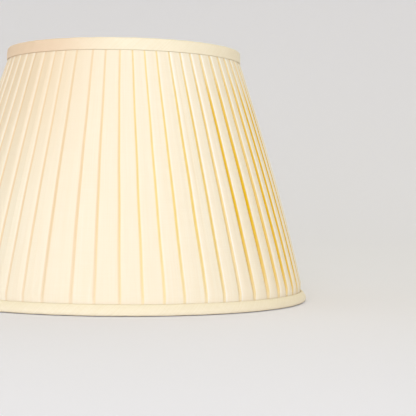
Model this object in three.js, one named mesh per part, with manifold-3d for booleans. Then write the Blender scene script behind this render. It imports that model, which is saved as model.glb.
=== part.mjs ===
// Pleated empire lamp shade: a welded wire frame with a four-arm spider, a lining, a box-pleated
// cover, and a folded binding over each rim. A loose reducer ring lies in the spider's fitter ring.
// Millimetres, +Z up. The origin is the centre of the lower rim, in the plane that it stands on.
import * as THREE from "three";
import { mergeVertices } from "three/addons/utils/BufferGeometryUtils.js";
import Module from "manifold-3d";

const wasm = await Module();
wasm.setup();

// The cone, measured over the rim bindings.
const HEIGHT = 300;
const BOTTOM_RADIUS = 225;
const TOP_RADIUS = 142;

// The clearance kept between neighbouring pieces.
const GAP = 0.35;

// The wire frame. The wires' centre lines lie on a cone inside the outer one.
const WIRE_INSET = 8.1;
const RIM_WIRE_RADIUS = 2;
const STRUT_WIRE_RADIUS = 1.5;
const STRUT_COUNT = 8;
const FIRST_STRUT_ANGLE = Math.PI / 8;

// The spider: arms from the upper ring down to a flat ring for a 42 mm lampholder.
const ARM_COUNT = 4;
const FIRST_ARM_ANGLE = Math.PI / 4;
const ARM_WIRE_RADIUS = 1.75;
const ARM_LEVEL_RUN = 80;
const ARM_KNEE_RADIUS = 112;
const ARM_KNEE_RISE = 11;
const FITTER_HEIGHT = 272;
const FITTER_BORE_RADIUS = 21;
const FITTER_RADIUS = 27.5;
const FITTER_THICKNESS = 2.5;

// The reducer ring, which narrows the fitter ring to a 29 mm lampholder.
const REDUCER_BORE_RADIUS = 14.5;
const REDUCER_FLANGE_RADIUS = 25;
const REDUCER_THICKNESS = 1.6;
const REDUCER_COLLAR_RADIUS = 20.6;
const REDUCER_COLLAR_WALL = 1.7;

// The fabrics. Offsets are measured level, outwards from the wires' centre lines.
const BINDING_THICKNESS = 1;
const BINDING_WIDTH_TOP = 14;
const BINDING_WIDTH_BOTTOM = 12;
const BINDING_OUTER_OFFSET = 7.1;
const BINDING_INNER_OFFSET = -3.4;
const BINDING_EDGE_ROUND = 0.6;
const LINING_OUTER_OFFSET = -RIM_WIRE_RADIUS - GAP;
const LINING_THICKNESS = 0.8;
const COVER_INNER_OFFSET = RIM_WIRE_RADIUS + GAP;
const COVER_OUTER_OFFSET = 6.8;
const COVER_BULGE = 4;
const PLEAT_COUNT = 60;
const PLEAT_DEPTH = 1.8;
const PLEAT_SHOULDER_DROP = 0.3;
const PLEAT_SHOULDER = 0.1;
const COVER_BANDS = 4;

// The patches that trim the lining where the arms come through it.
const PATCH_WIDTH = 16;
const PATCH_ABOVE_ARM = 4.5;
const PATCH_BELOW_ARM = 17;
const PATCH_THICKNESS = 0.8;
const PATCH_OFFSET = -5.5;
const PATCH_CORNER_RADIUS = 2.5;
const ARM_HOLE_RADIUS = ARM_WIRE_RADIUS + 2 * GAP;

// Facets.
const RIM_SEGMENTS = 80;
const RING_SEGMENTS = 72;
const SMALL_RING_SEGMENTS = 48;
const WIRE_SIDES = 8;
const ARM_STEPS = 10;

const FITTER_TOP = FITTER_HEIGHT + FITTER_THICKNESS / 2;
const FITTER_UNDERSIDE = FITTER_HEIGHT - FITTER_THICKNESS / 2;
const FABRIC_MARGIN = BINDING_THICKNESS + GAP;
const RIM_WIRE_HEIGHT = FABRIC_MARGIN + RIM_WIRE_RADIUS;
const UPPER_RING_HEIGHT = HEIGHT - RIM_WIRE_HEIGHT;

const MATERIALS = {
  cover: new THREE.MeshStandardMaterial({ color: 0xf8ecd2, roughness: 0.85, metalness: 0 }),
  binding: new THREE.MeshStandardMaterial({ color: 0xf6e8c8, roughness: 0.85, metalness: 0 }),
  lining: new THREE.MeshStandardMaterial({ color: 0xfbf6ea, roughness: 0.9, metalness: 0 }),
  wire: new THREE.MeshStandardMaterial({ color: 0xe9e7e1, roughness: 0.45, metalness: 0.1 }),
  plastic: new THREE.MeshStandardMaterial({ color: 0xf1efe9, roughness: 0.5, metalness: 0 }),
};

// Radius of the outer cone at a height.
function outerRadius(z) {
  return BOTTOM_RADIUS + ((TOP_RADIUS - BOTTOM_RADIUS) * z) / HEIGHT;
}

// Radius of the cone that holds the wires' centre lines.
function wireRadius(z) {
  return outerRadius(z) - WIRE_INSET;
}

// A ring turned from a closed profile of [radius, height] points, listed counterclockwise.
function turned(profile, segments) {
  const points = [...profile, profile[0]].map(([radius, z]) => new THREE.Vector2(radius, z));
  return new THREE.LatheGeometry(points, segments).rotateX(Math.PI / 2);
}

// A round wire along a curve, with flat ends.
function wireAlong(curve, radius, steps) {
  const section = new THREE.Shape();
  section.absarc(0, 0, radius, 0, 2 * Math.PI);
  return new THREE.ExtrudeGeometry(section, {
    steps,
    curveSegments: WIRE_SIDES / 2,
    bevelEnabled: false,
    extrudePath: curve,
  });
}

function toManifold(geometry) {
  const bare = new THREE.BufferGeometry();
  bare.setAttribute("position", geometry.getAttribute("position").clone());
  bare.setIndex(geometry.index ? geometry.index.clone() : null);
  const merged = mergeVertices(bare, 1e-3);
  return new wasm.Manifold(
    new wasm.Mesh({
      numProp: 3,
      vertProperties: new Float32Array(merged.getAttribute("position").array),
      triVerts: new Uint32Array(merged.index.array),
    }),
  );
}

function toGeometry(solid) {
  const mesh = solid.getMesh();
  const geometry = new THREE.BufferGeometry();
  geometry.setAttribute("position", new THREE.BufferAttribute(mesh.vertProperties, 3));
  geometry.setIndex(new THREE.BufferAttribute(mesh.triVerts, 1));
  geometry.computeVertexNormals();
  return geometry;
}

// The first geometry with the others cut out of it.
function cut(geometry, cutters) {
  const solid = cutters.reduce(
    (rest, cutter) => rest.subtract(toManifold(cutter)),
    toManifold(geometry),
  );
  return toGeometry(solid);
}

// The wire ring at a rim, with its wire made thicker by a margin.
function rimRing(z, margin = 0) {
  const tube = RIM_WIRE_RADIUS + margin;
  const ring = new THREE.TorusGeometry(wireRadius(z), tube, WIRE_SIDES, RING_SEGMENTS);
  return ring.translate(0, 0, z);
}

// A strut in the XZ plane, from ring to ring, saddled round both.
function strut() {
  const low = new THREE.Vector3(wireRadius(RIM_WIRE_HEIGHT), 0, RIM_WIRE_HEIGHT);
  const high = new THREE.Vector3(wireRadius(UPPER_RING_HEIGHT), 0, UPPER_RING_HEIGHT);
  const rod = wireAlong(new THREE.LineCurve3(low, high), STRUT_WIRE_RADIUS, 1);
  return cut(rod, [rimRing(RIM_WIRE_HEIGHT, GAP), rimRing(UPPER_RING_HEIGHT, GAP)]);
}

// The centre line of a spider arm in the XZ plane: level at the fitter ring, then rising to the
// upper ring.
function armCurve() {
  return new THREE.CubicBezierCurve3(
    new THREE.Vector3(FITTER_RADIUS + GAP, 0, FITTER_HEIGHT),
    new THREE.Vector3(ARM_LEVEL_RUN, 0, FITTER_HEIGHT),
    new THREE.Vector3(ARM_KNEE_RADIUS, 0, FITTER_HEIGHT + ARM_KNEE_RISE),
    new THREE.Vector3(wireRadius(UPPER_RING_HEIGHT), 0, UPPER_RING_HEIGHT),
  );
}

function spiderArm() {
  const rod = wireAlong(armCurve(), ARM_WIRE_RADIUS, ARM_STEPS);
  return cut(rod, [rimRing(UPPER_RING_HEIGHT, GAP)]);
}

// The point where an arm's centre line crosses the cone at an offset from the wires' cone.
function armCrossing(offset) {
  const points = armCurve().getPoints(400);
  return points.find((point) => point.x > wireRadius(point.z) + offset);
}

// The flat steel ring that sits on a 42 mm lampholder.
function fitterRing() {
  const edge = 0.4;
  const profile = [
    [FITTER_BORE_RADIUS, FITTER_UNDERSIDE],
    [FITTER_RADIUS - edge, FITTER_UNDERSIDE],
    [FITTER_RADIUS, FITTER_UNDERSIDE + edge],
    [FITTER_RADIUS, FITTER_TOP - edge],
    [FITTER_RADIUS - edge, FITTER_TOP],
    [FITTER_BORE_RADIUS, FITTER_TOP],
  ];
  return turned(profile, SMALL_RING_SEGMENTS);
}

// A flange that lies on the fitter ring, with a collar that drops into its bore.
function reducerRing() {
  const under = FITTER_TOP + GAP;
  const over = under + REDUCER_THICKNESS;
  const foot = FITTER_UNDERSIDE + GAP;
  const edge = 0.5;
  const profile = [
    [REDUCER_BORE_RADIUS, under],
    [REDUCER_COLLAR_RADIUS - REDUCER_COLLAR_WALL, under],
    [REDUCER_COLLAR_RADIUS - REDUCER_COLLAR_WALL, foot],
    [REDUCER_COLLAR_RADIUS, foot],
    [REDUCER_COLLAR_RADIUS, under],
    [REDUCER_FLANGE_RADIUS, under],
    [REDUCER_FLANGE_RADIUS, over - edge],
    [REDUCER_FLANGE_RADIUS - edge, over],
    [REDUCER_BORE_RADIUS + edge, over],
    [REDUCER_BORE_RADIUS, over - edge],
  ];
  return turned(profile, SMALL_RING_SEGMENTS);
}

// A binding folded over a rim: a U section whose crown is at one height and whose free edges are
// at another.
function binding(crown, freeEdge) {
  const into = Math.sign(freeEdge - crown);
  const inside = crown + into * BINDING_THICKNESS;
  const round = crown + into * BINDING_EDGE_ROUND;
  const outer = BINDING_OUTER_OFFSET + BINDING_THICKNESS;
  const inner = BINDING_INNER_OFFSET - BINDING_THICKNESS;
  const profile = [
    [wireRadius(freeEdge) + BINDING_OUTER_OFFSET, freeEdge],
    [wireRadius(freeEdge) + outer, freeEdge],
    [wireRadius(round) + outer, round],
    [wireRadius(crown) + outer - BINDING_EDGE_ROUND, crown],
    [wireRadius(crown) + inner + BINDING_EDGE_ROUND, crown],
    [wireRadius(round) + inner, round],
    [wireRadius(freeEdge) + inner, freeEdge],
    [wireRadius(freeEdge) + BINDING_INNER_OFFSET, freeEdge],
    [wireRadius(inside) + BINDING_INNER_OFFSET, inside],
    [wireRadius(inside) + BINDING_OUTER_OFFSET, inside],
  ];
  return turned(into < 0 ? profile : profile.reverse(), RIM_SEGMENTS);
}

// The boxes that clear the arms' way through a fabric, between two heights.
function armSlots(low, high) {
  const depth = 11;
  const crossing = armCrossing(PATCH_OFFSET);
  const slots = [];
  for (let i = 0; i < ARM_COUNT; i += 1) {
    const slot = new THREE.BoxGeometry(depth, 2 * ARM_HOLE_RADIUS, high - low);
    slot.translate(crossing.x, 0, (low + high) / 2);
    slots.push(slot.rotateZ(armAngle(i)));
  }
  return slots;
}

function armAngle(i) {
  return FIRST_ARM_ANGLE + (2 * Math.PI * i) / ARM_COUNT;
}

function strutAngle(i) {
  return FIRST_STRUT_ANGLE + (2 * Math.PI * i) / STRUT_COUNT;
}

// The upper binding's inner fold is slit from its free edge for the arms.
function topBinding() {
  const freeEdge = HEIGHT - BINDING_WIDTH_TOP;
  const whole = binding(HEIGHT, freeEdge);
  return cut(whole, armSlots(freeEdge - 1, UPPER_RING_HEIGHT));
}

// The lining's upper edge is slit for the arms.
function lining() {
  const low = FABRIC_MARGIN;
  const high = HEIGHT - FABRIC_MARGIN;
  const inner = LINING_OUTER_OFFSET - LINING_THICKNESS;
  const profile = [
    [wireRadius(low) + inner, low],
    [wireRadius(low) + LINING_OUTER_OFFSET, low],
    [wireRadius(high) + LINING_OUTER_OFFSET, high],
    [wireRadius(high) + inner, high],
  ];
  const slotFoot = armCrossing(LINING_OUTER_OFFSET).z - 2 * ARM_HOLE_RADIUS;
  return cut(turned(profile, RIM_SEGMENTS), armSlots(slotFoot, HEIGHT));
}

// How far the cover's outside lies inside its crest, at the four corners of each pleat.
const PLEAT_CORNERS = [
  { share: 0, drop: PLEAT_DEPTH },
  { share: PLEAT_SHOULDER, drop: PLEAT_SHOULDER_DROP },
  { share: 0.5, drop: 0 },
  { share: 1 - PLEAT_SHOULDER, drop: PLEAT_SHOULDER_DROP },
];

// A row of the cover's outside, standing out from the wires' cone by the offset.
function coverRow(z, offset, fluted) {
  return { z, radius: wireRadius(z) + offset, fluted };
}

// The cover: a conical shell with a groove between pleats, bellied a little between the bindings.
function pleatedCover() {
  const low = FABRIC_MARGIN;
  const high = HEIGHT - FABRIC_MARGIN;
  const openLow = BINDING_WIDTH_BOTTOM;
  const openHigh = HEIGHT - BINDING_WIDTH_TOP;
  const rows = [coverRow(low, COVER_OUTER_OFFSET, true)];
  for (let row = 0; row <= COVER_BANDS; row += 1) {
    const share = row / COVER_BANDS;
    const z = openLow + (openHigh - openLow) * share;
    const belly = 4 * COVER_BULGE * share * (1 - share);
    rows.push(coverRow(z, COVER_OUTER_OFFSET + belly, true));
  }
  rows.push(coverRow(high, COVER_OUTER_OFFSET, true));
  rows.push(coverRow(high, COVER_INNER_OFFSET, false));
  rows.push(coverRow(low, COVER_INNER_OFFSET, false));
  const corners = [];
  for (let pleat = 0; pleat < PLEAT_COUNT; pleat += 1) {
    for (const { share, drop } of PLEAT_CORNERS) {
      corners.push({ angle: ((pleat + share) * 2 * Math.PI) / PLEAT_COUNT, drop });
    }
  }
  return ringGrid(rows, corners);
}

// A closed ring skinned over a loop of rows, each row going once round through all the corners.
function ringGrid(rows, corners) {
  const positions = [];
  for (const { z, radius, fluted } of rows) {
    for (const { angle, drop } of corners) {
      const r = radius - (fluted ? drop : 0);
      positions.push(r * Math.cos(angle), r * Math.sin(angle), z);
    }
  }
  const around = corners.length;
  const index = [];
  for (let row = 0; row < rows.length; row += 1) {
    const here = row * around;
    const above = ((row + 1) % rows.length) * around;
    for (let i = 0; i < around; i += 1) {
      const next = (i + 1) % around;
      index.push(here + i, here + next, above + next);
      index.push(here + i, above + next, above + i);
    }
  }
  const geometry = new THREE.BufferGeometry();
  geometry.setAttribute("position", new THREE.Float32BufferAttribute(positions, 3));
  geometry.setIndex(index);
  geometry.computeVertexNormals();
  return geometry;
}

// A small plate with rounded corners and a hole for an arm, lying along the lining's slope. It is
// drawn with the hole at its own origin, its width along X and its height along Y.
function gimbalPatch() {
  const half = PATCH_WIDTH / 2;
  const top = PATCH_ABOVE_ARM;
  const foot = -PATCH_BELOW_ARM;
  const r = PATCH_CORNER_RADIUS;
  const outline = new THREE.Shape();
  outline.absarc(half - r, foot + r, r, -Math.PI / 2, 0);
  outline.absarc(half - r, top - r, r, 0, Math.PI / 2);
  outline.absarc(r - half, top - r, r, Math.PI / 2, Math.PI);
  outline.absarc(r - half, foot + r, r, Math.PI, 1.5 * Math.PI);
  const hole = new THREE.Path();
  hole.absarc(0, 0, ARM_HOLE_RADIUS, 0, 2 * Math.PI, true);
  outline.holes.push(hole);
  const plate = new THREE.ExtrudeGeometry(outline, {
    depth: PATCH_THICKNESS,
    curveSegments: 4,
    bevelEnabled: false,
  });
  plate.translate(0, 0, -PATCH_THICKNESS / 2);
  // Stand the plate up facing +X, then lean it over with the cone.
  plate.rotateX(Math.PI / 2).rotateZ(Math.PI / 2);
  plate.rotateY(-Math.atan((BOTTOM_RADIUS - TOP_RADIUS) / HEIGHT));
  const crossing = armCrossing(PATCH_OFFSET);
  return plate.translate(crossing.x, 0, crossing.z);
}

// A named mesh, turned about the shade's axis to its place.
function piece(name, geometry, material, angle = 0) {
  const mesh = new THREE.Mesh(geometry, material);
  mesh.name = name;
  mesh.rotation.z = angle;
  return mesh;
}

function wireFrame() {
  const group = new THREE.Group();
  group.add(piece("bottom_ring", rimRing(RIM_WIRE_HEIGHT), MATERIALS.wire));
  group.add(piece("top_ring", rimRing(UPPER_RING_HEIGHT), MATERIALS.wire));
  for (let i = 0; i < STRUT_COUNT; i += 1) {
    group.add(piece(`strut_${i + 1}`, strut(), MATERIALS.wire, strutAngle(i)));
  }
  for (let i = 0; i < ARM_COUNT; i += 1) {
    group.add(piece(`spider_arm_${i + 1}`, spiderArm(), MATERIALS.wire, armAngle(i)));
  }
  group.add(piece("fitter_ring", fitterRing(), MATERIALS.wire));
  return group;
}

function fabrics() {
  const group = new THREE.Group();
  group.add(piece("lining", lining(), MATERIALS.lining));
  group.add(piece("pleated_cover", pleatedCover(), MATERIALS.cover));
  group.add(piece("top_binding", topBinding(), MATERIALS.binding));
  group.add(piece("bottom_binding", binding(0, BINDING_WIDTH_BOTTOM), MATERIALS.binding));
  for (let i = 0; i < ARM_COUNT; i += 1) {
    group.add(piece(`gimbal_patch_${i + 1}`, gimbalPatch(), MATERIALS.lining, armAngle(i)));
  }
  return group;
}

const shade = new THREE.Group();
shade.name = "lamp_shade";
shade.add(wireFrame());
shade.add(fabrics());
shade.add(piece("reducer_ring", reducerRing(), MATERIALS.plastic));

export default shade;
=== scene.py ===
import math

import bmesh
import bpy
import numpy as np
from mathutils import Matrix, Vector


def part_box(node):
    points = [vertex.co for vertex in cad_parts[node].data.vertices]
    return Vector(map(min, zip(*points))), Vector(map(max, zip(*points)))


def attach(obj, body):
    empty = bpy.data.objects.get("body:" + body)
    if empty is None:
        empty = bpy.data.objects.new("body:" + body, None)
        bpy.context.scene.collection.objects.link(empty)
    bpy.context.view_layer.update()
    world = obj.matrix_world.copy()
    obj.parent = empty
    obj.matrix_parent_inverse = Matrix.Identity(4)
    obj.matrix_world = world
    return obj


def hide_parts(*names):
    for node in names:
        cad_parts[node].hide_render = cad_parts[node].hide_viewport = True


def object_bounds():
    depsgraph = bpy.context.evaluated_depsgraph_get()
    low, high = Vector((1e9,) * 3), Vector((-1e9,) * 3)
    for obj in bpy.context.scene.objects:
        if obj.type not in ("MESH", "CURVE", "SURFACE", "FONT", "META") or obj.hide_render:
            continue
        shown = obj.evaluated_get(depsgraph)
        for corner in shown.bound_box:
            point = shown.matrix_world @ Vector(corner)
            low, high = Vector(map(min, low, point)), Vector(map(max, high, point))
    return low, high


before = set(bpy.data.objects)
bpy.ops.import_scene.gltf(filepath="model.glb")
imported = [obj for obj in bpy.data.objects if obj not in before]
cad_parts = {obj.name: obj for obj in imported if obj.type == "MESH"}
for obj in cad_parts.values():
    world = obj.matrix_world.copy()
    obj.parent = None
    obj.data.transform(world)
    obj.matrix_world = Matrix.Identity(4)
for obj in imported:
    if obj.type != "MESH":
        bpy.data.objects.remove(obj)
cad_low, cad_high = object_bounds()

MM = 0.001
TURN = 2 * math.pi


# ---------------------------------------------------------------- the frame's sizes

def ring_from(node):
    """A wire ring's radius to its centreline, its wire's radius and its height, in millimetres."""
    low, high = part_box(node)
    wire = (high.z - low.z) / 2
    return (high.x - wire) / MM, wire / MM, (low.z + high.z) / 2 / MM


HEIGHT = (cad_high.z - cad_low.z) / MM
TOP_RING, TOP_WIRE, TOP_RING_Z = ring_from("top_ring")
BOTTOM_RING, BOTTOM_WIRE, BOTTOM_RING_Z = ring_from("bottom_ring")
TAPER = (TOP_RING - BOTTOM_RING) / (TOP_RING_Z - BOTTOM_RING_Z)
TOP_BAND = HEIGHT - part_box("top_binding")[0].z / MM
BOTTOM_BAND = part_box("bottom_binding")[1].z / MM


def wires_at(z):
    """The radius of the cone through both wire rings, at a height."""
    return BOTTOM_RING + (z - BOTTOM_RING_Z) * TAPER


def around(angle, radius, z):
    """Points in metres. Angle 0 faces -Y, and angles grow towards +X."""
    return np.stack([radius * np.sin(angle), -radius * np.cos(angle), z + 0 * angle], -1) * MM


def eased(x):
    """0 below 0, 1 above 1, and a smooth step between."""
    x = np.clip(x, 0, 1)
    return x * x * (3 - 2 * x)


def rises(x, start, length):
    """0 up to start, 1 from start + length, and a smooth step between."""
    return eased((x - start) / length)


# ---------------------------------------------------------------- the camera

LENS = 99.5
SENSOR = 36
CAMERA_DISTANCE = 1.415
CAMERA_HEIGHT = 0.1267
CAMERA_YAW = math.radians(4.23)
CAMERA_PITCH = math.radians(-0.64)
CAMERA_ROLL = math.radians(0.65)
CAMERA_FAR = 30


def make_camera():
    """In front of the shade, level with its middle and turned a little to the right of it."""
    data = bpy.data.cameras.new("camera")
    data.lens = LENS
    data.sensor_width = SENSOR
    data.clip_end = CAMERA_FAR
    camera = bpy.data.objects.new("camera", data)
    bpy.context.scene.collection.objects.link(camera)
    flat = math.cos(CAMERA_PITCH)
    forward = Vector((math.sin(CAMERA_YAW) * flat, math.cos(CAMERA_YAW) * flat, math.sin(CAMERA_PITCH)))
    level = Vector((math.cos(CAMERA_YAW), -math.sin(CAMERA_YAW), 0))
    upright = level.cross(forward)
    right = level * math.cos(CAMERA_ROLL) + upright * math.sin(CAMERA_ROLL)
    up = upright * math.cos(CAMERA_ROLL) - level * math.sin(CAMERA_ROLL)
    turn = Matrix((right, up, -forward)).transposed().to_4x4()
    camera.matrix_world = Matrix.Translation((0, -CAMERA_DISTANCE, CAMERA_HEIGHT)) @ turn
    bpy.context.scene.camera = camera


make_camera()


# ---------------------------------------------------------------- mesh helpers

CURVE_STEPS = 16
CORNER_SHARE = 0.45


def grid_faces(rows, columns):
    """The four corners of each face of a grid of points."""
    index = np.arange(rows * columns).reshape(rows, columns)
    corners = [index[:-1, :-1], index[:-1, 1:], index[1:, 1:], index[1:, :-1]]
    return np.stack(corners, -1).reshape(-1, 4)


def add_object(name, mesh, material):
    """Links a smooth-shaded mesh as a piece with its material."""
    mesh.polygons.foreach_set("use_smooth", [True] * len(mesh.polygons))
    mesh.materials.append(material)
    piece = bpy.data.objects.new(name, mesh)
    bpy.context.scene.collection.objects.link(piece)
    return piece


def grid_piece(name, points, material, threads, **levels):
    """A cloth of rows by columns of points. threads is each point's place on the flat cloth, in
    millimetres, and levels are numbers that the material reads, one for each point."""
    rows, columns = points.shape[:2]
    mesh = bpy.data.meshes.new(name)
    mesh.from_pydata(points.reshape(-1, 3).tolist(), [], grid_faces(rows, columns).tolist())
    store = mesh.attributes.new("threads", "FLOAT_VECTOR", "POINT")
    flat = np.zeros((rows * columns, 3), np.float32)
    flat[:, :2] = threads.reshape(-1, 2)
    store.data.foreach_set("vector", flat.ravel())
    for key, values in levels.items():
        store = mesh.attributes.new(key, "FLOAT", "POINT")
        values = np.broadcast_to(values, (rows, columns)).astype(np.float32)
        store.data.foreach_set("value", values.ravel())
    return add_object(name, mesh, material)


def along(points, count):
    """count points, evenly spaced on a smooth curve through a short list of points, and its length."""
    p = np.array(points, float)
    padded = np.vstack([2 * p[0] - p[1], p, 2 * p[-1] - p[-2]])
    step = np.linspace(0, 1, CURVE_STEPS, endpoint=False)[:, None]
    runs = []
    for a, b, c, d in zip(padded, padded[1:], padded[2:], padded[3:]):
        runs.append(0.5 * (2 * b + (c - a) * step + (2 * a - 5 * b + 4 * c - d) * step ** 2
                           + (3 * b - a - 3 * c + d) * step ** 3))
    fine = np.vstack(runs + [p[-1:]])
    length = np.concatenate([[0], np.cumsum(np.linalg.norm(np.diff(fine, axis=0), axis=1))])
    even = np.linspace(0, length[-1], count)
    return np.stack([np.interp(even, length, column) for column in fine.T], -1), length[-1]


def lathe_mesh(name, profile, sides):
    """A closed profile of (radius, height), in millimetres, turned about the Z axis."""
    mesh = bpy.data.meshes.new(name)
    turn = np.arange(sides) * TURN / sides
    radius, z = np.array(profile, float).T
    points = around(turn[:, None], radius[None, :], z[None, :])
    count = len(profile)
    faces = []
    for i in range(sides):
        for j in range(count):
            a, b = i * count, (i + 1) % sides * count
            k = (j + 1) % count
            faces.append((a + j, b + j, b + k, a + k))
    mesh.from_pydata(points.reshape(-1, 3).tolist(), [], faces)
    return mesh


def rounded(profile, radius, steps=3):
    """The same closed profile with each corner cut into a small round one."""
    made = []
    count = len(profile)
    for i in range(count):
        before, here, after = (np.array(profile[(i + k) % count], float) for k in (-1, 0, 1))
        back, ahead = np.linalg.norm(before - here), np.linalg.norm(after - here)
        reach = min(radius, back * CORNER_SHARE, ahead * CORNER_SHARE)
        start = here + (before - here) / back * reach
        end = here + (after - here) / ahead * reach
        for t in np.linspace(0, 1, steps + 1):
            made.append(tuple((1 - t) ** 2 * start + 2 * t * (1 - t) * here + t * t * end))
    return made


def wire_mesh(name, path, radius, closed=False, sides=14, beads=()):
    """A round wire along a path, in millimetres. beads are the (point, radius) of its welds."""
    path = np.array(path, float)
    ahead = np.roll(path, -1, 0) - np.roll(path, 1, 0)
    if not closed:
        ahead[0] = path[1] - path[0]
        ahead[-1] = path[-1] - path[-2]
    ahead /= np.linalg.norm(ahead, axis=1)[:, None]
    side = np.cross(ahead, (0, 0, 1))
    side /= np.linalg.norm(side, axis=1)[:, None]
    up = np.cross(side, ahead)
    turn = np.arange(sides) * TURN / sides
    rings = path[:, None] + radius * (np.cos(turn)[None, :, None] * side[:, None]
                                      + np.sin(turn)[None, :, None] * up[:, None])
    bm = bmesh.new()
    made = [[bm.verts.new(Vector(p) * MM) for p in ring] for ring in rings]
    for i in range(len(made) if closed else len(made) - 1):
        here, there = made[i], made[(i + 1) % len(made)]
        for k in range(sides):
            n = (k + 1) % sides
            bm.faces.new((here[k], here[n], there[n], there[k]))
    if not closed:
        bm.faces.new(made[0][::-1])
        bm.faces.new(made[-1])
    for point, size in beads:
        matrix = Matrix.Translation(Vector(point) * MM)
        bmesh.ops.create_icosphere(bm, subdivisions=3, radius=size * MM, matrix=matrix)
    bmesh.ops.recalc_face_normals(bm, faces=bm.faces)
    mesh = bpy.data.meshes.new(name)
    bm.to_mesh(mesh)
    bm.free()
    return mesh


# ---------------------------------------------------------------- material helpers

# The Mix node has sockets for numbers, vectors and colours. These are its share and its colours.
MIX_SHARE = 0
MIX_LOW = 6
MIX_HIGH = 7
MIX_COLOUR = 2
# A Wave texture's scale is this over the distance between its bands.
BAND_SCALE = TURN / 20


class Paint:
    """One material, with short calls for the nodes that the materials share."""

    def __init__(self, name, **sockets):
        self.material = bpy.data.materials.new(name)
        self.material.use_nodes = True
        self.tree = self.material.node_tree
        self.shader = self.tree.nodes["Principled BSDF"]
        for socket, value in sockets.items():
            self.shader.inputs[socket.replace("_", " ")].default_value = value

    def put(self, socket, value):
        """Sets a socket to a number or colour, or links another socket to it."""
        if isinstance(value, bpy.types.NodeSocket):
            self.tree.links.new(value, socket)
        else:
            socket.default_value = value

    def node(self, kind, **settings):
        made = self.tree.nodes.new("ShaderNode" + kind)
        for key, value in settings.items():
            setattr(made, key, value)
        return made

    def stored(self, name, output="Fac"):
        return self.node("Attribute", attribute_name=name).outputs[output]

    def place(self):
        return self.node("TexCoord").outputs["Object"]

    def scaled(self, vector, scale, turned=0):
        made = self.node("Mapping")
        self.put(made.inputs["Vector"], vector)
        made.inputs["Scale"].default_value = scale
        made.inputs["Rotation"].default_value[2] = turned
        return made.outputs["Vector"]

    def noise(self, vector, scale, detail=2, low=0.3, high=0.7):
        """Noise, stretched so that it fills 0 to 1."""
        made = self.node("TexNoise")
        self.put(made.inputs["Vector"], vector)
        made.inputs["Scale"].default_value = scale
        made.inputs["Detail"].default_value = detail
        spread = self.node("MapRange")
        self.put(spread.inputs["Value"], made.outputs["Fac"])
        spread.inputs["From Min"].default_value = low
        spread.inputs["From Max"].default_value = high
        return spread.outputs["Result"]

    def bands(self, vector, axis, pitch):
        """Threads side by side along an axis, pitch apart in the vector's own units."""
        made = self.node("TexWave", bands_direction=axis)
        self.put(made.inputs["Vector"], vector)
        made.inputs["Scale"].default_value = BAND_SCALE / pitch
        made.inputs["Distortion"].default_value = 0.6
        made.inputs["Detail"].default_value = 1
        return made.outputs["Fac"]

    def calc(self, kind, *values):
        made = self.node("Math", operation=kind)
        for socket, value in zip(made.inputs, values):
            self.put(socket, value)
        return made.outputs["Value"]

    def times(self, a, b):
        return self.calc("MULTIPLY", a, b)

    def plus(self, a, b):
        return self.calc("ADD", a, b)

    def mix(self, share, low, high):
        """The low colour where the share is 0 or less, the high one where it is 1 or more."""
        made = self.node("Mix", data_type="RGBA")
        self.put(made.inputs[MIX_SHARE], share)
        self.put(made.inputs[MIX_LOW], low)
        self.put(made.inputs[MIX_HIGH], high)
        return made.outputs[MIX_COLOUR]

    def colour(self, value):
        self.put(self.shader.inputs["Base Color"], value)

    def rough(self, value):
        self.put(self.shader.inputs["Roughness"], value)

    def raised(self, height, distance, strength):
        made = self.node("Bump")
        self.put(made.inputs["Height"], height)
        made.inputs["Distance"].default_value = distance
        made.inputs["Strength"].default_value = strength
        self.put(self.shader.inputs["Normal"], made.outputs["Normal"])


def rgb(red, green, blue):
    return (red, green, blue, 1)


# The cloth's own measures, in millimetres.
THREAD = 0.45
SLUB_WIDTH = 1.5
SLUB_LENGTH = 60
PATCH_SIZE = 70
STREAK_WIDTH = 6
STREAK_LENGTH = 240
WEAVE_DEPTH = 0.06


def cloth_paint(name, thin, thick, turned=0.0, streaks=1.0):
    """Woven cloth: fine threads both ways, long slubs, faint patches. Returns it and its colour."""
    paint = Paint(name, Specular_IOR_Level=0.2, Sheen_Weight=0.12, Sheen_Roughness=0.4)
    threads = paint.scaled(paint.stored("threads", "Vector"), (1, 1, 1), turned)
    slub = paint.noise(paint.scaled(threads, (1 / SLUB_WIDTH, 1 / SLUB_LENGTH, 1)), 1, 3)
    cross = paint.noise(paint.scaled(threads, (1 / SLUB_LENGTH, 1 / SLUB_WIDTH, 1)), 1, 2)
    patch = paint.noise(threads, 1 / PATCH_SIZE, 2)
    thickness = paint.plus(paint.times(slub, 0.7 * streaks), paint.times(cross, 0.3 * streaks))
    colour = paint.mix(thickness, thin, thick)
    colour = paint.mix(paint.times(patch, 0.35), colour, thin)
    weave = paint.times(paint.bands(threads, "X", THREAD), paint.bands(threads, "Y", THREAD))
    paint.raised(paint.plus(weave, slub), WEAVE_DEPTH * MM, 0.5)
    paint.rough(paint.calc("MULTIPLY_ADD", slub, -0.1, 0.9))
    return paint, colour


# ---------------------------------------------------------------- materials

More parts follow.
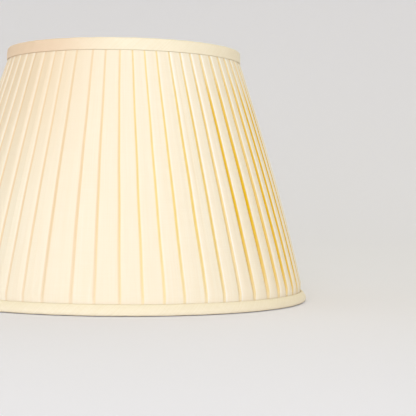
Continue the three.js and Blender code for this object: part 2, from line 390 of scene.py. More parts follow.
CREAM_THIN = rgb(0.92, 0.81, 0.60)
CREAM_THICK = rgb(0.95, 0.87, 0.70)
CREAM_WARM = rgb(0.94, 0.81, 0.62)
CREAM_STREAK = rgb(0.93, 0.79, 0.58)
# Painted shade near the top of one side.
SIDE_SHADE_COLOUR = rgb(0.89, 0.72, 0.50)
# Painted highlight on the pleats' shoulders.
HIGHLIGHT_COLOUR = rgb(0.985, 0.975, 0.93)
# Painted shade in the folds, from tan through peach to golden round the shade.
TAN_FOLD_SHADE = rgb(0.90, 0.68, 0.41)
PEACH_FOLD_SHADE = rgb(0.96, 0.73, 0.28)
GOLDEN_FOLD_SHADE = rgb(0.79, 0.49, 0.005)
BIAS_THIN = rgb(0.90, 0.79, 0.56)
BIAS_THICK = rgb(0.96, 0.87, 0.68)
# Painted shade near the top of one side of the bindings.
BIAS_SIDE_SHADE = rgb(0.85, 0.65, 0.45)
# Painted shade along the bindings' folded edges.
BIAS_EDGE_SHADE = rgb(0.84, 0.69, 0.40)
LINING_THIN = rgb(0.94, 0.91, 0.82)
LINING_THICK = rgb(0.97, 0.95, 0.88)
LINING_SEAM = rgb(0.78, 0.70, 0.55)


def cover_paint():
    """Cream pleated cloth, with painted shade in tan, peach or golden where it turns down into the folds,
    painted highlights on some shoulders and painted shade near the top of one side.
    """
    paint, colour = cloth_paint("cover_cloth", CREAM_THIN, CREAM_THICK)
    colour = paint.mix(paint.times(paint.stored("tone"), 0.4), colour, CREAM_WARM)
    threads = paint.stored("threads", "Vector")
    streak = paint.noise(paint.scaled(threads, (1 / STREAK_WIDTH, 1 / STREAK_LENGTH, 1)), 1, 1)
    colour = paint.mix(paint.times(streak, 0.3), colour, CREAM_STREAK)
    # Painted shade near the top of one side.
    colour = paint.mix(paint.stored("browned"), colour, SIDE_SHADE_COLOUR)
    # Painted highlight on the pleats' shoulders.
    colour = paint.mix(paint.stored("painted_highlight"), colour, HIGHLIGHT_COLOUR)
    # Painted shade down into the folds, its hue going from tan through peach to golden round the shade.
    golden = paint.stored("golden")
    fold = paint.mix(golden, TAN_FOLD_SHADE, PEACH_FOLD_SHADE)
    fold = paint.mix(paint.plus(golden, -1), fold, GOLDEN_FOLD_SHADE)
    colour = paint.mix(paint.stored("painted_fold_shade"), colour, fold)
    paint.colour(colour)
    return paint.material


def binding_paint():
    """The same cloth cut on the bias, with painted shade along its folded edges and near the top of one
    side.
    """
    bias = math.radians(45)
    paint, colour = cloth_paint("binding_cloth", BIAS_THIN, BIAS_THICK, turned=bias, streaks=0.8)
    # Painted shade near the top of one side.
    colour = paint.mix(paint.stored("browned"), colour, BIAS_SIDE_SHADE)
    # Painted shade along the folded edges.
    colour = paint.mix(paint.times(paint.stored("edge"), 0.25), colour, BIAS_EDGE_SHADE)
    paint.colour(colour)
    return paint.material


def lining_paint():
    """Smooth off-white lining, a little darker along its seams."""
    paint, colour = cloth_paint("lining_cloth", LINING_THIN, LINING_THICK, streaks=0.6)
    colour = paint.mix(paint.times(paint.stored("seam"), 0.5), colour, LINING_SEAM)
    paint.colour(colour)
    return paint.material


def coated_paint(name, colour, wear_and_highlight, rough):
    """White coating on steel: slightly uneven, with faint yellowed patches."""
    paint = Paint(name, Specular_IOR_Level=0.5, Coat_Weight=0.15, Coat_Roughness=0.2)
    place = paint.place()
    patch = paint.noise(place, 55, 3, 0.42, 0.75)
    skin = paint.noise(place, 900, 2)
    paint.colour(paint.mix(paint.times(patch, 0.55), colour, wear_and_highlight))
    paint.rough(paint.calc("MULTIPLY_ADD", skin, 0.12, rough))
    paint.raised(skin, 0.05 * MM, 0.4)
    return paint.material


def plastic_paint():
    """White moulded plastic, satin, with a fine spark-eroded grain."""
    paint = Paint("reducer_plastic", Specular_IOR_Level=0.45, Subsurface_Weight=0.08)
    paint.shader.inputs["Subsurface Radius"].default_value = (0.002, 0.0016, 0.0012)
    place = paint.place()
    grain = paint.noise(place, 2600, 2)
    cloud = paint.noise(place, 90, 2)
    paint.colour(paint.mix(cloud, rgb(0.84, 0.82, 0.76), rgb(0.88, 0.865, 0.82)))
    paint.rough(paint.calc("MULTIPLY_ADD", grain, 0.15, 0.34))
    paint.raised(grain, 0.03 * MM, 0.6)
    return paint.material


COVER = cover_paint()
BINDING = binding_paint()
LINING = lining_paint()
COATED_WIRE = coated_paint("frame_wire", rgb(0.80, 0.79, 0.75), rgb(0.70, 0.64, 0.50), 0.32)
COATED_STEEL = coated_paint("fitter_steel", rgb(0.80, 0.79, 0.76), rgb(0.62, 0.58, 0.50), 0.28)
PLASTIC = plastic_paint()


# ---------------------------------------------------------------- the pleated cover

PLEATS = 60
PLEAT_CLOTH = 41.3
PLEAT_SEED = 240416
PLEAT_SPREAD = 0.14
WIDE_PLEAT = 3
WIDE_SHARE = 1.3
FIRST_FOLD = math.radians(-39.53)
SKEW = (1.75, 2.37, 2.26)
FOLD_WANDER = math.radians(0.15)

COVER_INSET = 2.2
COVER_ROWS = 40
ROWS_BUNCHED = 0.09
CROWN_STEPS = 28
NEAR_POINTS = 6
FAR_POINTS = 5
FREE_LOW = BOTTOM_BAND
FREE_HIGH = HEIGHT - TOP_BAND
# Where the bands' hold on the cloth eases off, as a height and the length that it takes.
HELD_LOW = (FREE_LOW - 4, 14)
HELD_HIGH = (FREE_HIGH - 6, 14)

# How the cloth stands out from the wires, in millimetres and shares.
BELLY = 3.4
BELLY_SKEW = 0.85
BACKING = 2.4
RETURN = 2.6
PUFF = 4.7
PUFF_HELD = 0.35
PUFF_FALL = 0.62
PUFF_WANDER = 0.12
PUFF_ACROSS = 2.25
PUFF_UP = (1.08, 2.0)
PLUMP_LEAST = 0.11
PLUMP_PUFFED = 0.45
CROWN_CLEAR = 0.3
GAP = 0.01
FOLD_TURN = 0.3
TILT = 0.36
SHINGLE = 0.9
BUCKLES = 2
BUCKLE = 0.7
PINCH = 0.7
PINCH_WIDTH = 0.09

# The side where the pleats are slacker and carry more painted shade in their folds, the puffed side, the
# side with painted shade near the top, and how far the painted fold shade and painted highlights reach.
SLACK_SHADED_SIDE = math.radians(70)
FOLD_SHADE_LEAST = 0.96
PUFFED_SIDE = math.radians(-80)
SHADED_SIDE = math.radians(-78)
PINCH_SHADE = 0.3
FOLD_SHADE_REACH = (0.21, 0.43)
FOLD_SHADE_FADE = (0.12, 0.05)
HIGHLIGHT_FADE = 0.12
HIGHLIGHT_WIDTH = (1.7, 3.2)
LOW_FADE = 0.36
LOW_FADE_LENGTH = 110
HIGH_FADE = 0.12
UNEVEN = 0.4
TOP_RIM_FADE = 0.52
TOP_RIM = (226, 48)
BOTTOM_RIM_FADE = 0.35
BOTTOM_RIM = (12, 40)


def wander(rng, count, t, waves=(0.7, 1.7, 3.3)):
    """count smooth random lines over t, each from about -1 to 1."""
    total = np.zeros((len(t), count))
    for wave in waves:
        size = rng.uniform(0.4, 1.0, count)
        total += size * np.cos(TURN * wave * t[:, None] + rng.uniform(0, TURN, count))
    return total / len(waves)


def closed_up(values):
    """The same columns with the first one again at the end."""
    return np.concatenate([values, values[:, :1]], 1)


def fold_angles(rng, t):
    """The angle of each fold line at each row. The folds lean a little and aren't evenly spaced."""
    share = 1 + PLEAT_SPREAD * rng.uniform(-1, 1, PLEATS)
    share[WIDE_PLEAT] *= WIDE_SHARE
    base = FIRST_FOLD + np.concatenate([[0], np.cumsum(share)]) * TURN / share.sum()
    lean = np.radians(SKEW[0] + SKEW[1] * np.sin(base) + SKEW[2] * np.sin(2 * base))
    return base + (0.5 - t)[:, None] * lean + FOLD_WANDER * closed_up(wander(rng, PLEATS, t))


def browned_at(angle, z):
    """How much painted shade the cloth carries: most near the top of one side."""
    return eased(np.cos(angle - SHADED_SIDE) * 1.25) ** 2 * rises(z / HEIGHT, 0.3, 0.7)


def fold_shade_hue_at(side):
    """The hue of a fold's painted shade: 0 tan on one side, 1 peach in the middle, 2 golden on the other
    side.
    """
    return eased(0.67 + 2.5 * side) + eased(1.6 * side - 0.2)


class Pleats:
    """The pleats' measures, by row and pleat, in millimetres along and out from the wires' cone."""

    def __init__(self, rng):
        even = np.linspace(0, 1, COVER_ROWS)
        self.t = even - ROWS_BUNCHED * np.sin(TURN * even)
        self.z = COVER_INSET + self.t * (HEIGHT - 2 * COVER_INSET)
        self.loose = (rises(self.z, *HELD_LOW) * (1 - rises(self.z, *HELD_HIGH)))[:, None]
        span = np.clip((self.z - FREE_LOW) / (FREE_HIGH - FREE_LOW), 0, 1)
        self.belly = BELLY * np.sin(math.pi * span ** BELLY_SKEW)
        self.base = wires_at(self.z) + self.belly + RETURN + PUFF / 2
        self.folds = fold_angles(rng, self.t)
        self.width = np.diff(self.folds, axis=1) * self.base[:, None]
        start = self.folds[:, :-1]
        self.side = np.sin(start)
        # The side where the pleats are slacker and fuller, and where their folds carry more painted shade.
        self.slack_and_shaded = eased(np.cos(start - SLACK_SHADED_SIDE)) ** 2.6
        self.puffed = np.maximum(np.cos(start - PUFFED_SIDE), 0) ** 3
        self.gap = GAP * (1 + 0.5 * closed_up(wander(rng, PLEATS, self.t))) * (0.55 + 0.45 * self.loose)
        self.low, self.height = self.crown_heights(rng)

    def crown_heights(self, rng):
        """How far out a crown's edges are, and how much further out its middle is."""
        puff = PUFF * (PUFF_HELD + (1 - PUFF_HELD) * self.loose)
        mean = self.width.mean(1)[:, None]
        level = RETURN + puff * mean / mean.max() * (1 - PUFF_FALL * self.t * self.t)[:, None]
        plump = PLUMP_LEAST + (1 - PLUMP_LEAST) * np.maximum(self.slack_and_shaded ** 2, PLUMP_PUFFED * self.puffed)
        height = puff * plump * self.width / mean.max()
        height = height * (1 + PUFF_WANDER * wander(rng, PLEATS, self.t, (0.5, 1.2)))
        low = np.maximum(level - height, BACKING + CROWN_CLEAR)
        return low, level - low


def crown_outline(pleats):
    """Across a crown, q runs from -1 at one fold to 1 at the next, and rise from 0 to 1 and back."""
    turn = np.linspace(0, math.pi, CROWN_STEPS + 1)
    q = -np.sign(np.cos(turn)) * np.abs(np.cos(turn)) ** (2 / PUFF_ACROSS)
    roundness = (PUFF_UP[0] + (PUFF_UP[1] - PUFF_UP[0]) * pleats.slack_and_shaded)[..., None]
    return q, np.maximum(1 - np.abs(q) ** PUFF_ACROSS, 0) ** (1 / roundness)


def crown_surface(rng, pleats, q, rise):
    """How far out the crowns' points are: rounded, leaning over their neighbours, a little buckled."""
    free = pleats.loose ** 2
    out = pleats.low[..., None] + pleats.height[..., None] * rise
    lean = TILT * (rng.uniform(-1, 1, PLEATS) + 0.5 * wander(rng, PLEATS, pleats.t, (0.6, 1.3)))
    lean = lean - SHINGLE * pleats.side
    out = out + (lean * free)[..., None] * q * rise ** 2
    along_t = (2 * pleats.t - 1)[:, None]
    for _ in range(BUCKLES):
        centre = rng.uniform(-0.7, 0.7, PLEATS) + along_t * rng.uniform(-0.35, 0.35, PLEATS)
        spread = rng.uniform(0.10, 0.28, PLEATS)[None, :, None]
        size = rng.uniform(-1, 1, PLEATS) ** 3 * (0.6 + 0.4 * wander(rng, PLEATS, pleats.t)) * free
        bump = np.exp(-((q - centre[..., None]) / spread) ** 2)
        out = out + BUCKLE * rise ** 2 * size[..., None] * bump
    return out


def pinches(rng, pleats, q):
    """Thin creases down some of the crowns on the slacker side, as levels from 0 to 1."""
    middle = (pleats.t - 0.5)[:, None]
    centre = rng.uniform(-0.3, 0.5, PLEATS) + 0.25 * middle * rng.uniform(-1, 1, PLEATS)
    deep = rng.uniform(0, 1, PLEATS) ** 2 * pleats.slack_and_shaded * pleats.loose * eased(0.25 + pleats.t)[:, None]
    return np.exp(-((q - centre[..., None]) / PINCH_WIDTH) ** 2) * deep[..., None]


def folded_section(pleats, q, crown):
    """Each pleat's points, across and out: along its backing, round the turn, over its crown and back
    under. Also half of each crown's width."""
    full = pleats.width[..., None]
    spare = PLEAT_CLOTH - pleats.width - 1.1 * pleats.height
    under = np.minimum(spare / 4, 0.45 * pleats.width)[..., None]
    near, far = pleats.gap[:, :-1, None], pleats.gap[:, 1:, None]
    half = (full - near - far) / 2
    left = [0 * under, under / 2, under, under + FOLD_TURN, under, (under + near) / 2]
    right = [(under + far) / 2, under, under + FOLD_TURN, under, under / 2]
    x = np.concatenate(left + [near + half * (1 + q)] + [full - part for part in right], 2)
    low = pleats.low[..., None]
    back = 0 * under + BACKING
    middle = (back + low) / 2
    h = np.concatenate([back, back, back, middle, low, low, crown, low, low, middle, back, back], 2)
    return x, h, half


def crown_levels(pleats, q, rise, half, pinch):
    """How far the painted fold shade comes up the crowns, and how strong the painted highlight on their
    shoulders is.
    """
    slack_and_shaded, puffed = pleats.slack_and_shaded[..., None], pleats.puffed[..., None]
    reach = FOLD_SHADE_REACH[0] + FOLD_SHADE_REACH[1] * slack_and_shaded
    fade = FOLD_SHADE_FADE[0] + FOLD_SHADE_FADE[1] * (2 - fold_shade_hue_at(pleats.side)[..., None])
    painted_fold_shade = np.maximum(1 - rises(rise, reach, fade), PINCH_SHADE * pinch)
    # Painted highlight: on the shoulders facing one way on the slacker side, fainter on the others and on
    # the puffed side.
    wear_and_highlight = np.where(q < 0, slack_and_shaded, 0.25 * slack_and_shaded + 0.45 * puffed)
    inward = (1 - np.abs(q)) * half
    painted_highlight = rises(rise, reach + 0.02, HIGHLIGHT_FADE) * (1 - rises(inward, *HIGHLIGHT_WIDTH)) * wear_and_highlight
    return painted_fold_shade, painted_highlight


def fold_strength(pleats):
    """How strong the painted shade in the folds is on each pleat: fainter low down, at the top and under
    the bands.
    """
    low = LOW_FADE * (1 - rises(pleats.z, FREE_LOW, LOW_FADE_LENGTH))[:, None]
    low = low * (1 - rises(pleats.side, 0.7, 0.25))
    high = HIGH_FADE * rises(pleats.z / HEIGHT, 0.6, 0.4)[:, None]
    slack_and_shaded = FOLD_SHADE_LEAST + (1 - FOLD_SHADE_LEAST) * pleats.slack_and_shaded
    return (slack_and_shaded * (0.5 + 0.5 * pleats.loose) * (1 - high) * (1 - low))[..., None]


def line_strength(rng, pleats):
    """How strong each painted shade line is where the folds are golden: uneven, and fainter near both
    rims.
    """
    wave = 0.8 * wander(rng, PLEATS, pleats.t, (0.15, 0.6))
    uneven = UNEVEN * eased(0.03 + wave + rng.uniform(-0.45, 0.45, PLEATS))
    top = TOP_RIM_FADE * rises(pleats.z, *TOP_RIM)
    bottom = BOTTOM_RIM_FADE * (1 - rises(pleats.z, *BOTTOM_RIM))
    weak = np.maximum(uneven, np.maximum(top, bottom)[:, None]) * rises(pleats.side, 0.1, 0.5)
    return closed_up(1 - weak)[..., None]


def whole_pleat(near, crown, far):
    """A level for all of a pleat's points, from those of its two undersides and its crown."""
    return np.concatenate([np.repeat(near, NEAR_POINTS, 2), crown, np.repeat(far, FAR_POINTS, 2)], 2)


def joined(values):
    """The pleats' points as one closed row for each height."""
    return closed_up(values.reshape(COVER_ROWS, -1))


def pleated_cloth():
    """One strip of cloth, folded into box pleats that meet edge to edge."""
    rng = np.random.RandomState(PLEAT_SEED)
    pleats = Pleats(rng)
    q, rise = crown_outline(pleats)
    crown = crown_surface(rng, pleats, q, rise)
    pinch = pinches(rng, pleats, q)
    x, h, half = folded_section(pleats, q, crown - PINCH * pinch)

    angle = (pleats.folds[:, :-1, None] + x / pleats.base[:, None, None]).reshape(COVER_ROWS, -1)
    angle = np.concatenate([angle, pleats.folds[:, -1:]], 1)
    out = joined((wires_at(pleats.z) + pleats.belly)[:, None, None] + h)
    z = pleats.z[:, None]
    points = around(angle, out, z)

    tone = np.repeat(rng.uniform(0, 1, PLEATS), x.shape[2])
    line = line_strength(rng, pleats)
    near, far = line[:, :-1], line[:, 1:]
    # Painted shade down into the folds, painted highlights on the shoulders, the hue of the fold shade by
    # side, and painted shade near the top of one side.
    crown_fold_shade, crown_highlight = crown_levels(pleats, q, rise, half, pinch)
    painted_fold_shade = whole_pleat(near, np.where(q < 0, near, far) * crown_fold_shade, far) * fold_strength(pleats)
    painted_highlight = whole_pleat(0 * near, crown_highlight, 0 * far)
    golden = np.repeat(fold_shade_hue_at(pleats.side), x.shape[2], axis=1)
    levels = {"painted_fold_shade": joined(painted_fold_shade), "painted_highlight": joined(painted_highlight), "golden": closed_up(golden),
              "tone": np.append(tone, tone[0]), "browned": browned_at(angle, z)}

    middle_row = points[COVER_ROWS // 2] / MM
    across = np.concatenate([[0], np.cumsum(np.linalg.norm(np.diff(middle_row, axis=0), axis=1))])
    up = (pleats.z - pleats.z[0]) * math.hypot(1, TAPER)
    threads = np.stack(np.broadcast_arrays(across[None, :], up[:, None]), -1)
    piece = grid_piece("pleated_cloth", points, COVER, threads, **levels)
    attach(piece, "shade")
    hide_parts("pleated_cover")


# ---------------------------------------------------------------- the bindings

BINDING_ROWS = 44
BINDING_COLUMNS = 540
BINDING_START = math.radians(168)
BINDING_LAP = 14
LAP_RISE = 0.8
LAP_TURN = 0.05
TURNED_IN = 4.6
EDGE_SHADE_WIDTH = 0.8
WRINKLES = 9
TOP_SEED = 5
BOTTOM_SEED = 8
# Each outline is (out from the wires' cone, up from the rim), from one turned-in edge to the other.
TOP_PROFILE = [(3.65, -8.5), (3.6, -11.5), (3.65, -13.6), (3.85, -14.0), (4.15, -13.5), (4.95, -10.5),
               (5.85, -7.0), (6.55, -3.6), (6.9, -0.7), (6.1, 0.0), (1.5, 0.0), (-1.6, -0.3), (-3.6, -1.4),
               (-4.3, -4.0), (-4.2, -8.0), (-4.0, -12.5), (-3.75, -13.9), (-3.4, -13.4), (-3.45, -9.0)]
BOTTOM_PROFILE = [(-3.45, 8.0), (-3.4, 11.2), (-3.75, 12.0), (-4.1, 11.3), (-4.4, 7.5), (-4.4, 3.5),
                  (-3.5, 1.0), (-1.2, 0.1), (2.5, 0.0), (5.8, 0.35), (8.0, 1.8), (9.1, 4.4), (9.0, 7.2),
                  (8.1, 9.6), (6.8, 11.5), (6.0, 12.2), (5.4, 11.9), (5.2, 10.3), (5.4, 7.0)]


def bias_wrinkles(rng, run, place):
    """Soft slanting waves over a strip, by place across it and run along it."""
    wrinkle = np.zeros((len(place), len(run)))
    for _ in range(WRINKLES):
        length = rng.uniform(7, 34)
        slant = rng.uniform(-0.9, 0.9)
        phase = TURN * (run[None, :] + slant * place[:, None]) / length
        fade = 0.5 + 0.5 * np.cos(TURN * run / rng.uniform(60, 200) + rng.uniform(0, TURN))
        wrinkle += rng.uniform(0.03, 0.09) * np.cos(phase + rng.uniform(0, TURN)) * fade
    return wrinkle


def binding_cloth(name, node, outline, rim, seed):
    """A bias strip folded over a rim, its long edges turned under and its end lapped over its start."""
    rng = np.random.RandomState(seed)
    profile, strip = along(outline, BINDING_ROWS)
    out, z = profile[:, 0], profile[:, 1] + rim
    place = np.linspace(0, strip, BINDING_ROWS)
    mean = wires_at(rim)
    angle = BINDING_START + np.linspace(0, TURN + BINDING_LAP / mean, BINDING_COLUMNS + 1)
    run = (angle - BINDING_START) * mean

    tangent = np.gradient(profile, axis=0)
    tangent /= np.linalg.norm(tangent, axis=1)[:, None]
    normal = np.stack([tangent[:, 1], -tangent[:, 0]], -1)
    wrinkle = bias_wrinkles(rng, run, place) * eased(np.minimum(place, strip - place) / 5)[:, None]
    lap = rises(angle, BINDING_START + TURN - LAP_TURN, LAP_TURN) * LAP_RISE
    lift = wrinkle + lap[None, :]
    radius = wires_at(z)[:, None] + out[:, None] + lift * normal[:, :1]
    up = np.maximum(z[:, None] + lift * normal[:, 1:], 0)
    points = around(np.broadcast_to(angle[None, :], lift.shape), radius, up)

    # Painted shade along the band's two folded edges, where it meets the cloth under it.
    nearest = np.minimum(np.abs(place - TURNED_IN), np.abs(strip - place - TURNED_IN))
    edge = np.exp(-(nearest / EDGE_SHADE_WIDTH) ** 2)[:, None]
    threads = np.stack(np.broadcast_arrays(run[None, :], place[:, None]), -1)
    # Painted shade near the top of one side.
    browned = browned_at(angle[None, :], z[:, None])
    piece = grid_piece(name, points, BINDING, threads, edge=edge, browned=browned)
    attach(piece, "shade")
    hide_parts(node)


# ---------------------------------------------------------------- the lining

LINING_OFF = 2.75
LINING_WAIST = 1.4
LINING_PANELS = 4
SEAM_WIDTH = 1.0
SEAM_RISE = 0.35
LINING_ROWS = 26
LINING_COLUMNS = 384
LINING_INSET = 2.4
LINING_START = math.radians(22.5)
LINING_SEED = 31
PULL_WAVES = 6
PULL = 0.05


def lining_cloth():
    """The smooth inner cone, drawn in a little at its middle, with a seam between its panels."""
    rng = np.random.RandomState(LINING_SEED)
    t = np.linspace(0, 1, LINING_ROWS)
    z = LINING_INSET + t * (HEIGHT - 2 * LINING_INSET)
    angle = np.linspace(0, TURN, LINING_COLUMNS + 1) + LINING_START
    turn = TURN / LINING_PANELS
    from_seam = (angle - angle[0] + turn / 2) % turn - turn / 2
    from_seam = np.abs(from_seam)[None, :] * wires_at(z)[:, None]
    seam = np.exp(-(from_seam / SEAM_WIDTH) ** 2)
    near_rim = np.exp(-np.minimum(t, 1 - t) / 0.10)[:, None]
    pulls = np.zeros((len(t), len(angle)))
    for _ in range(PULL_WAVES):
        count = rng.randint(20, 70)
        pulls += np.cos(count * angle[None, :] + rng.uniform(0, TURN) + 3 * t[:, None])
    waist = LINING_WAIST * np.sin(math.pi * t)[:, None]
    radius = wires_at(z)[:, None] - LINING_OFF - waist - SEAM_RISE * seam + PULL * pulls * near_rim
    points = around(np.broadcast_to(angle[None, :], radius.shape), radius, z[:, None])
    run = (angle - angle[0]) * wires_at(HEIGHT / 2)
    up = (z - z[0]) * math.hypot(1, TAPER)
    threads = np.stack(np.broadcast_arrays(run[None, :], up[:, None]), -1)
    piece = grid_piece("lining_cloth", points[:, ::-1], LINING, threads[:, ::-1], seam=seam[:, ::-1])
    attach(piece, "shade")
    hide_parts("lining")


# ---------------------------------------------------------------- the wire frame

STRUTS = 8
ARMS = 4
STRUT_WIRE = 1.5
STRUT_STEPS = 8
STRUT_TRIM = 0.004
ARM_WIRE = 1.75
ARM_STEPS = 34
ARM_END = 0.99
ARM_BEAD = 2.3
RING_WELD = 1.22
ARM_WELD = 1.3
RING_STEPS = 192
RING_SIDES = 16
LATHE_SIDES = 128
REDUCER_BORE = 14.5
REDUCER_COLLAR = (18.9, 20.6)
REDUCER_FLANGE = 1.6
FITTER_LOW, FITTER_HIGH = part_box("fitter_ring")
FITTER_OUT = FITTER_HIGH.x / MM
FITTER_IN = 21
FITTER_Z = (FITTER_LOW.z + FITTER_HIGH.z) / 2 / MM
ARM_FLAT = 80
ARM_BEND = (112, 283)


def place_at(angle, radius, z):
    """One point, in millimetres, by the same angles as around."""
    return np.array([radius * math.sin(angle), -radius * math.cos(angle), z])


def frame_piece(piece, node):
    """Puts a piece of the metal frame on the shade's body, in place of its CAD node."""
    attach(piece, "shade")
    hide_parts(node)


def ring_wire(name, node, radius, wire, z):
    """A whole ring of wire, level at a height."""
    path = [place_at(TURN * i / RING_STEPS, radius, z) for i in range(RING_STEPS)]
    mesh = wire_mesh(name, path, wire, closed=True, sides=RING_SIDES)
    frame_piece(add_object(name, mesh, COATED_WIRE), node)


def strut_wire(number):
    """A straight wire from ring to ring, with a weld at each end."""
    angle = TURN * (number - 0.5) / STRUTS
    low = place_at(angle, BOTTOM_RING, BOTTOM_RING_Z)
    high = place_at(angle, TOP_RING, TOP_RING_Z)
    path = [low + (high - low) * t for t in np.linspace(STRUT_TRIM, 1 - STRUT_TRIM, STRUT_STEPS)]
    beads = [(low, BOTTOM_WIRE * RING_WELD), (high, TOP_WIRE * RING_WELD)]
    name = f"strut_wire_{number}"
    mesh = wire_mesh(name, path, STRUT_WIRE, beads=beads)
    frame_piece(add_object(name, mesh, COATED_WIRE), f"strut_{number}")


def arm_wire(number):
    """From the fitter's edge, level and then bending up to the upper ring."""
    angle = TURN * (number - 0.5) / ARMS
    ends = [(FITTER_OUT + 0.2, FITTER_Z), (ARM_FLAT, FITTER_Z), ARM_BEND, (TOP_RING, TOP_RING_Z)]
    control = [place_at(angle, r, z) for r, z in ends]
    path = []
    for t in np.linspace(0, ARM_END, ARM_STEPS):
        s = 1 - t
        path.append(s ** 3 * control[0] + 3 * s * s * t * control[1]
                    + 3 * s * t * t * control[2] + t ** 3 * control[3])
    beads = [(control[0], ARM_BEAD), (control[3], TOP_WIRE * ARM_WELD)]
    name = f"arm_wire_{number}"
    mesh = wire_mesh(name, path, ARM_WIRE, beads=beads)
    frame_piece(add_object(name, mesh, COATED_WIRE), f"spider_arm_{number}")


def fitter_disc():
    """The flat steel ring that the arms carry, with its corners eased."""
    low, high = FITTER_LOW.z / MM, FITTER_HIGH.z / MM
    outline = [(FITTER_IN, low), (FITTER_OUT, low), (FITTER_OUT, high), (FITTER_IN, high)]
    mesh = lathe_mesh("fitter_disc", rounded(outline, 0.5), LATHE_SIDES)
    frame_piece(add_object("fitter_disc", mesh, COATED_STEEL), "fitter_ring")


def reducer_moulding():
    """The loose plastic ring: a flange with a raised bead, and a collar down into the fitter."""
    low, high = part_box("reducer_ring")
    bottom, top, rim = low.z / MM, high.z / MM, high.x / MM
    bore = REDUCER_BORE
    collar_in, collar_out = REDUCER_COLLAR
    under = top - REDUCER_FLANGE
    outline = [(bore, under), (collar_in, under), (collar_in, bottom), (collar_out, bottom),
               (collar_out, under), (rim, under), (rim, top - 0.1), (rim - 1.2, top), (rim - 2.6, top),
               (rim - 3.0, top - 0.35), (bore + 3.0, top - 0.35), (bore + 2.6, top), (bore, top)]
    mesh = lathe_mesh("reducer_moulding", rounded(outline, 0.3), LATHE_SIDES)
    piece = add_object("reducer_moulding", mesh, PLASTIC)
    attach(piece, "reducer")
    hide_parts("reducer_ring")


# ---------------------------------------------------------------- the gimbal patches

PATCH_RINGS = 10
PATCH_SIDES = 48
PATCH_SEED = 70
PATCH_HOLE = 4.5
PATCH_HALF = 8.0
PATCH_SQUARE = 5.0
PATCH_GAP = 0.25
PATCH_OFF = 5.5
PUCKERS = 11


def gimbal_patch(number):
    """A small cloth sewn round an arm where it comes through: rounded corners, puckers to the hole."""
    rng = np.random.RandomState(PATCH_SEED + number)
    low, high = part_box(f"gimbal_patch_{number}")
    angle = TURN * (number - 0.5) / ARMS
    bottom, top = low.z / MM, high.z / MM
    hole = top - PATCH_HOLE
    turn = np.arange(PATCH_SIDES + 1) * TURN / PATCH_SIDES
    side, rise = np.sin(turn), np.cos(turn)
    reach = np.where(rise > 0, top - hole, hole - bottom)
    corners = np.abs(side / PATCH_HALF) ** PATCH_SQUARE + np.abs(rise / reach) ** PATCH_SQUARE
    edge = corners ** (-1 / PATCH_SQUARE)
    share = np.linspace(0, 1, PATCH_RINGS)[:, None]
    inner = ARM_WIRE + PATCH_GAP
    spread = inner + share * (edge - inner)[None, :]
    across, up = spread * side, hole + spread * rise
    wave = np.cos(PUCKERS * turn + rng.uniform(0, TURN))
    pucker = 0.22 * wave * np.sin(math.pi * share) * (1 - share)
    roll = -0.35 * rises(share, 0.8, 0.2)
    radius = wires_at(up) - PATCH_OFF - 0.55 * np.exp(-spread / 3) - pucker - roll
    points = around(angle + across / radius, radius, up)
    threads = np.stack([across + 40 * number, up], -1)
    seam = rises(share, 0.75, 0.2) * 0.5
    piece = grid_piece(f"patch_cloth_{number}", points, LINING, threads, seam=seam)
    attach(piece, "shade")
    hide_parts(f"gimbal_patch_{number}")


# ---------------------------------------------------------------- the studio

FLOOR_RADIUS = 1.9
FLOOR_DROP = 0.0004
WALL_RADIUS = 4.2
WALL_HEIGHT = 2.4
STAGE_SIDES = 128
BEND_STEPS = 24


def stage_paint():
    """Pale matt paper with a faint cloudiness."""
    paint = Paint("stage_paper", Specular_IOR_Level=0.1)
    cloud = paint.noise(paint.place(), 0.8, 2)
    paint.colour(paint.mix(cloud, rgb(0.885, 0.885, 0.975), rgb(0.895, 0.895, 0.985)))
    paint.rough(paint.calc("MULTIPLY_ADD", cloud, 0.02, 0.92))
    return paint.material


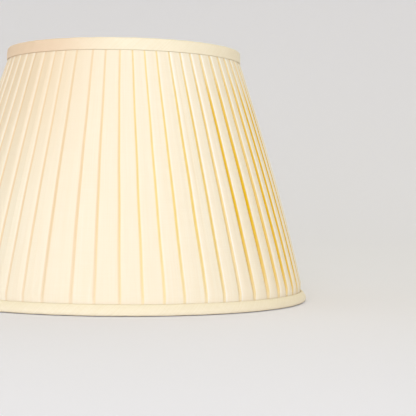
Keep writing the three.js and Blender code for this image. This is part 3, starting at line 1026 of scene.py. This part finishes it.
def make_stage():
    """A pale floor that curves up into a round pale wall."""
    bend = WALL_RADIUS - FLOOR_RADIUS
    profile = [(0.001, 0), (0.6, 0), (1.2, 0), (FLOOR_RADIUS, 0)]
    profile += [(FLOOR_RADIUS + bend * math.sin(a), bend * (1 - math.cos(a)))
                for a in np.linspace(0.06, math.pi / 2, BEND_STEPS)]
    profile += [(WALL_RADIUS, WALL_HEIGHT)]
    radius, z = np.array(profile).T
    turn = np.linspace(0, TURN, STAGE_SIDES + 1)
    points = around(turn[:, None], radius[None, :] / MM, z[None, :] / MM)
    faces = grid_faces(*points.shape[:2])[:, ::-1]
    mesh = bpy.data.meshes.new("stage")
    mesh.from_pydata(points.reshape(-1, 3).tolist(), [], faces.tolist())
    floor = add_object("stage", mesh, stage_paint())
    floor.location.z = -FLOOR_DROP


def soft_light(name, place, target, size, watts, colour):
    """A rectangular lamp that faces a target."""
    data = bpy.data.lights.new(name, "AREA")
    data.shape = "RECTANGLE"
    data.size, data.size_y = size
    data.energy = watts
    data.color = colour
    lamp = bpy.data.objects.new(name, data)
    bpy.context.scene.collection.objects.link(lamp)
    lamp.location = place
    aim = Vector(target) - Vector(place)
    lamp.rotation_euler = aim.to_track_quat("-Z", "Y").to_euler()


def make_light():
    """A cool key near the camera, a soft back light, a warm top light and a warm room."""
    centre = (0, 0, HEIGHT / 2 * MM)
    soft_light("key", (-0.25, -2.8, 0.55), centre, (1.2, 1.2), 43, (0.81, 0.86, 1.0))
    soft_light("back", (0.5, 2.2, 3.2), centre, (2.0, 2.0), 12, (0.95, 0.98, 0.85))
    soft_light("top", (0, 0, 3.4), centre, (4.0, 4.0), 14.5, (1.0, 0.93, 0.67))
    world = bpy.data.worlds.new("studio")
    bpy.context.scene.world = world
    world.use_nodes = True
    back = world.node_tree.nodes["Background"]
    back.inputs["Color"].default_value = rgb(1.0, 0.965, 0.79)
    back.inputs["Strength"].default_value = 0.62
    bpy.context.scene.view_settings.view_transform = "Standard"


ring_wire("top_ring_wire", "top_ring", TOP_RING, TOP_WIRE, TOP_RING_Z)
ring_wire("bottom_ring_wire", "bottom_ring", BOTTOM_RING, BOTTOM_WIRE, BOTTOM_RING_Z)
for number in range(1, STRUTS + 1):
    strut_wire(number)
for number in range(1, ARMS + 1):
    arm_wire(number)
    gimbal_patch(number)
fitter_disc()
reducer_moulding()
pleated_cloth()
lining_cloth()
binding_cloth("top_binding_cloth", "top_binding", TOP_PROFILE, HEIGHT, TOP_SEED)
binding_cloth("bottom_binding_cloth", "bottom_binding", BOTTOM_PROFILE, 0, BOTTOM_SEED)
make_stage()
make_light()
